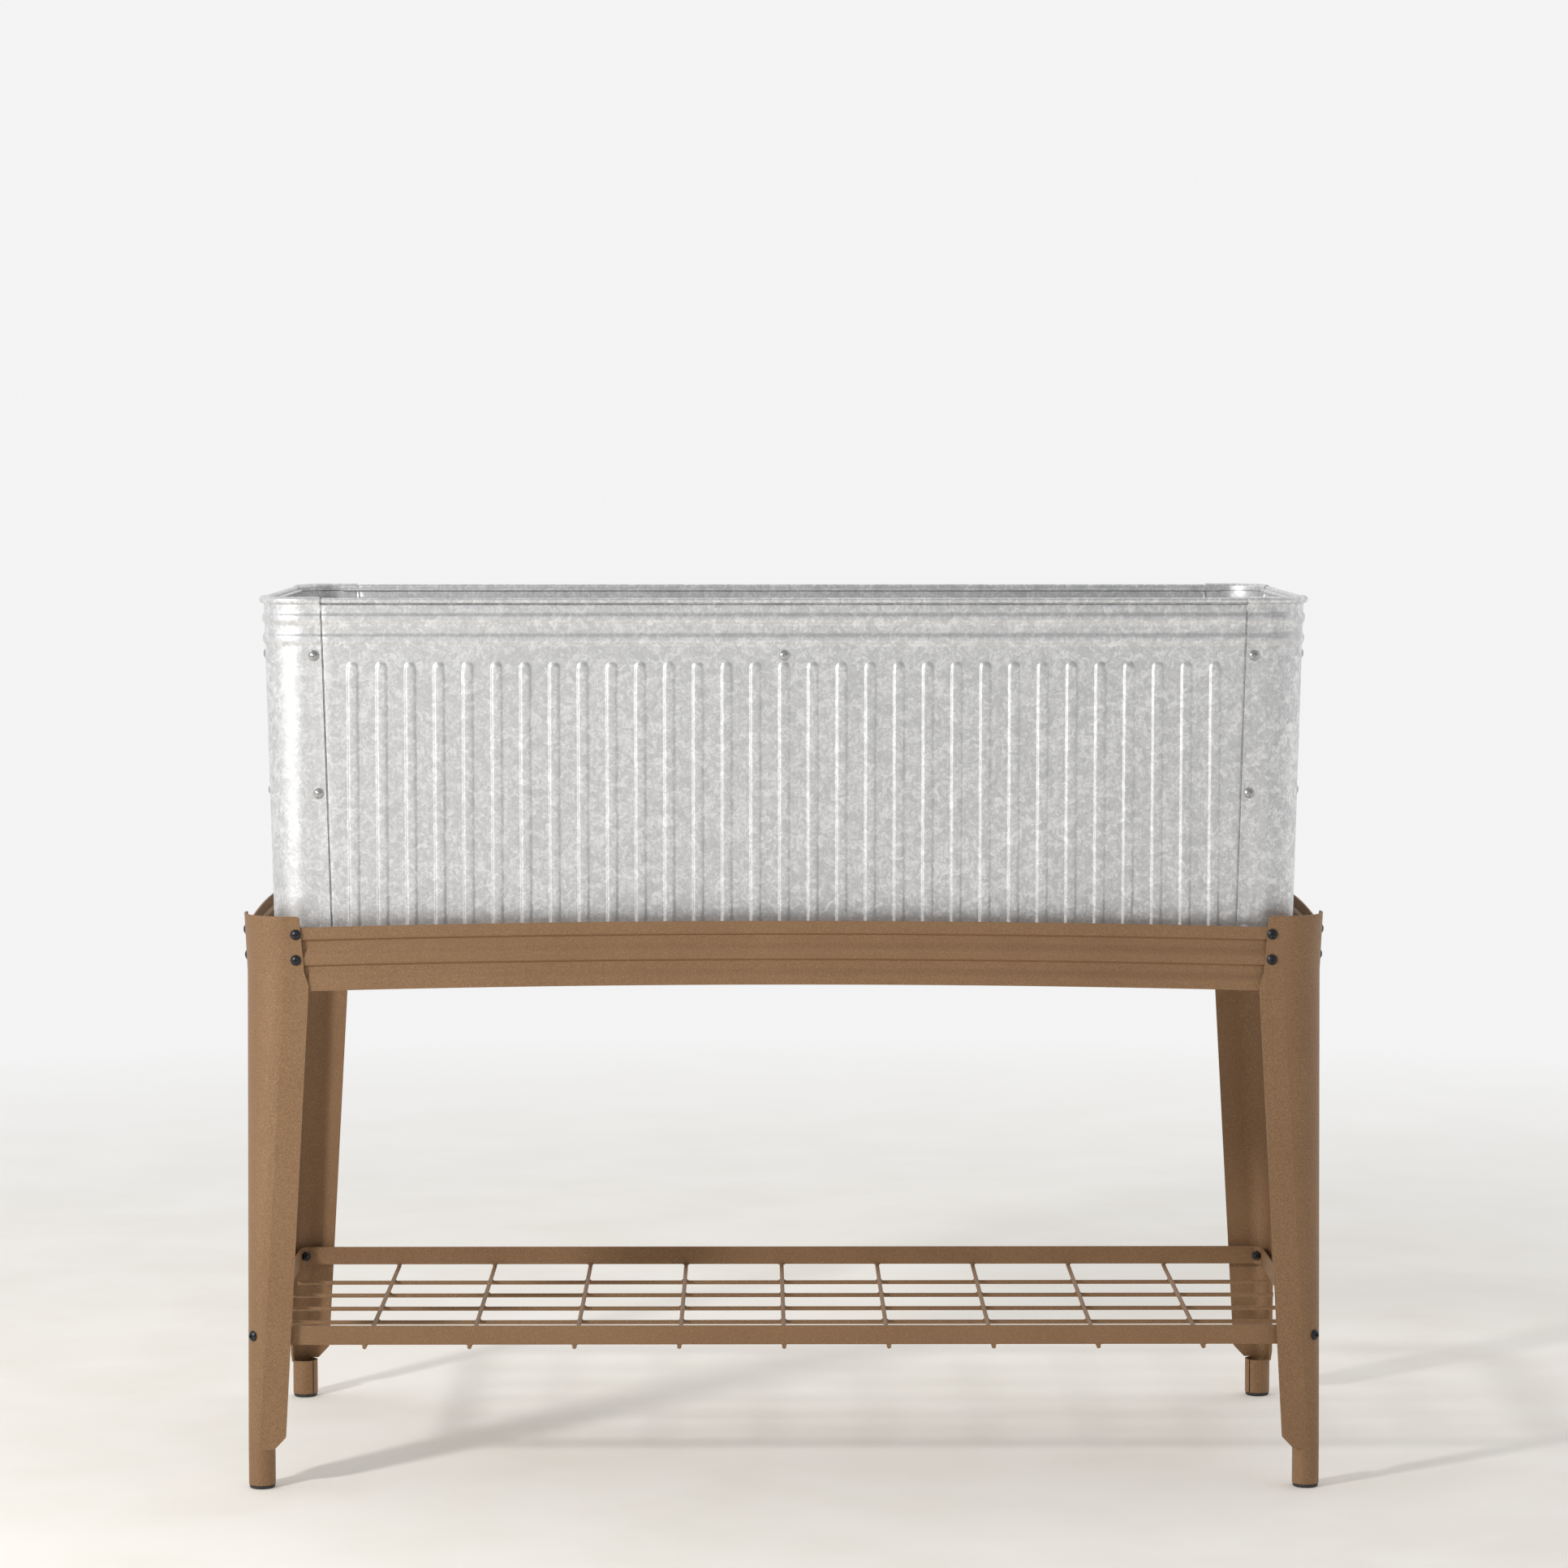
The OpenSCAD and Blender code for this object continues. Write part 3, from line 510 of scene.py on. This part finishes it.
def brown_coat():
    """Brown powder coat with fine grain and a few golden metal flecks."""
    made, n, shader, place = material("brown_powder_coat")
    grain = use(n, GRAIN, place, Grains_per_metre=1300.0)
    base = n.ramp(grain["Grain"], [(0.1, (0.225, 0.125, 0.060)), (0.5, (0.285, 0.162, 0.080)),
                                   (0.9, (0.35, 0.205, 0.106))])
    shade = n.ramp(grain["Cloud"], [(0.3, (0.90, 0.88, 0.86)), (0.7, (1.0, 1.0, 1.0))])
    cast = n.add("Mix", data_type="RGBA", blend_type="MULTIPLY")
    cast.inputs[0].default_value = 1.0
    n.tree.links.new(base, cast.inputs[6])
    n.tree.links.new(shade, cast.inputs[7])
    golden = n.mix(n.math("MULTIPLY", grain["Flecks"], 0.3), cast.outputs[2],
                   (0.60, 0.41, 0.22, 1))
    n.tree.links.new(golden, shader.inputs["Base Color"])
    metal = n.between(grain["Flecks"], 0.0, 1.0, 0.25, 0.85)
    n.tree.links.new(metal, shader.inputs["Metallic"])
    rough = n.between(grain["Grain"], 0.0, 1.0, 0.62, 0.46)
    n.tree.links.new(rough, shader.inputs["Roughness"])
    n.tree.links.new(bump(n, grain["Grain"], 0.35, 0.0004), shader.inputs["Normal"])
    return made


def black_steel():
    """Black plated screws, nuts and spacers of the stand."""
    made, n, shader, place = material("black_plated_steel")
    grain = use(n, GRAIN, place, Grains_per_metre=1600.0)
    colour = n.ramp(grain["Grain"], [(0.2, (0.022, 0.023, 0.027)), (0.9, (0.062, 0.063, 0.07))])
    n.tree.links.new(colour, shader.inputs["Base Color"])
    rough = n.between(grain["Cloud"], 0.3, 0.7, 0.26, 0.42)
    n.tree.links.new(rough, shader.inputs["Roughness"])
    n.tree.links.new(bump(n, grain["Grain"], 0.15, 0.0002), shader.inputs["Normal"])
    shader.inputs["Metallic"].default_value = 0.75
    return made


def foot_plastic():
    """Dull dark plastic of the feet."""
    made, n, shader, place = material("foot_plastic")
    grain = use(n, GRAIN, place, Grains_per_metre=900.0)
    colour = n.ramp(grain["Grain"], [(0.1, (0.018, 0.016, 0.015)), (0.9, (0.05, 0.045, 0.042))])
    n.tree.links.new(colour, shader.inputs["Base Color"])
    rough = n.between(grain["Grain"], 0.0, 1.0, 0.7, 0.5)
    n.tree.links.new(rough, shader.inputs["Roughness"])
    n.tree.links.new(bump(n, grain["Grain"], 0.3, 0.0003), shader.inputs["Normal"])
    return made


SPANGLE = spangle_group()
GRAIN = grain_group()
FINISH = {
    "galvanised": galvanised(),
    "zinc": zinc_plate(),
    "brown_coat": brown_coat(),
    "black_steel": black_steel(),
    "foot_plastic": foot_plastic(),
}


# ---- stage, light and camera ----

BACKGROUND = 0.9           # brightness of the white behind the planter
FADE = (0.9, 3.0)          # distances between which the floor runs into it, metres
FLOOR_GLOW = 0.05          # what the floor gives off by itself near the planter
SIDE_GLOW = (0.2, 0.9)     # light from in front of the planter and from behind it


def floor():
    """A round pale floor whose colour runs into the white of the surroundings."""
    ring = 96
    angle = np.arange(ring) * 2 * math.pi / ring
    steps = np.array([0.9, 1.6, 2.6, 4.5, 8.0, 20.0])
    circle = np.stack([np.cos(angle), np.sin(angle), 0 * angle], -1)
    points = np.concatenate([[[0, 0, 0]], (steps[:, None, None] * circle).reshape(-1, 3)])
    k = np.arange(ring)
    after = (k + 1) % ring
    rows = 1 + np.arange(len(steps) - 1)[:, None] * ring
    quads = np.stack([rows + k, rows + ring + k, rows + ring + after, rows + after], -1)
    faces = quads.reshape(-1, 4).tolist() + [(0, i + 1, int(after[i]) + 1) for i in range(ring)]
    mesh = bpy.data.meshes.new("studio_floor")
    mesh.from_pydata(points.tolist(), [], faces)
    made, n, shader, place = material("pale_floor")
    far = n.add("VectorMath", {0: place}, operation="LENGTH").outputs["Value"]
    speckle = n.add("TexNoise", {"Vector": place, "Scale": 6.0, "Detail": 5.0})
    stone = n.ramp(speckle.outputs[0], [(0.35, (0.90, 0.865, 0.80)), (0.65, (0.95, 0.92, 0.87))])
    fade = n.between(far, *FADE)
    n.tree.links.new(n.mix(fade, stone, (0, 0, 0, 1)), shader.inputs["Base Color"])
    shader.inputs["Roughness"].default_value = 0.9
    shader.inputs["Specular IOR Level"].default_value = 0.0
    shader.inputs["Emission Color"].default_value = (1, 1, 1, 1)
    glow = n.between(far, *FADE, FLOOR_GLOW, BACKGROUND)
    n.tree.links.new(glow, shader.inputs["Emission Strength"])
    mesh.materials.append(made)
    obj = bpy.data.objects.new("studio_floor", mesh)
    bpy.context.scene.collection.objects.link(obj)


def area_light(name, place, target, size, power, colour=(1, 1, 1)):
    """A round lamp at a place, turned to a target."""
    lamp = bpy.data.lights.new(name, "AREA")
    lamp.shape = "DISK"
    lamp.size = size
    lamp.energy = power
    lamp.color = colour
    obj = bpy.data.objects.new(name, lamp)
    obj.location = place
    obj.rotation_euler = (Vector(target) - Vector(place)).to_track_quat("-Z", "Y").to_euler()
    bpy.context.scene.collection.objects.link(obj)


def surroundings():
    """White all round for the camera; as light, dim in front and bright behind."""
    world = bpy.data.worlds.new("white_studio")
    world.use_nodes = True
    n = Nodes(world.node_tree)
    seen = n.add("LightPath").outputs["Is Camera Ray"]
    background = world.node_tree.nodes["Background"]
    background.inputs["Color"].default_value = (1, 1, 1, 1)
    toward = n.add("TexCoord").outputs["Generated"]
    behind = n.add("SeparateXYZ", {0: toward}).outputs["Y"]
    glow = n.between(behind, -0.85, 0.15, *SIDE_GLOW)
    strength = n.between(seen, 0, 1, glow, BACKGROUND)
    n.tree.links.new(strength, background.inputs["Strength"])
    bpy.context.scene.world = world
    bpy.context.scene.view_settings.view_transform = "Standard"


def camera():
    """A long lens in front, a little above the rim."""
    lens = bpy.data.cameras.new("front_camera")
    lens.sensor_width = 36
    lens.lens = 105.65
    obj = bpy.data.objects.new("front_camera", lens)
    obj.location = (-0.0259, -4.3525, 0.9511)
    obj.rotation_euler = Euler((math.radians(90 - 4.234), 0, -0.0062))
    bpy.context.scene.collection.objects.link(obj)
    bpy.context.scene.camera = obj


camera()
surroundings()
area_light("key_light", (-2.0, -1.95, 1.45), (0, 0, 0.55), 0.3, 40, (1.0, 0.99, 0.975))
area_light("front_light", (0.6, -5.5, 2.6), (0, 0, 0.5), 2.6, 12)
floor()

for part in frame["record"]["subparts"]:
    node = frame["nodes"][part["node"]]
    node.data.materials.clear()
    node.data.materials.append(FINISH[part["material_slot"]])

for side, word in enumerate(("back", "left", "front", "right")):
    tub_panel("tub_" + word + "_panel", side)
    apron("apron_" + word, side)
for sy, depth_word in ((-1, "front"), (1, "back")):
    for sx, side_word in ((-1, "left"), (1, "right")):
        tub_corner("tub_corner_" + depth_word + "_" + side_word, sx, sy)
weld_beads()
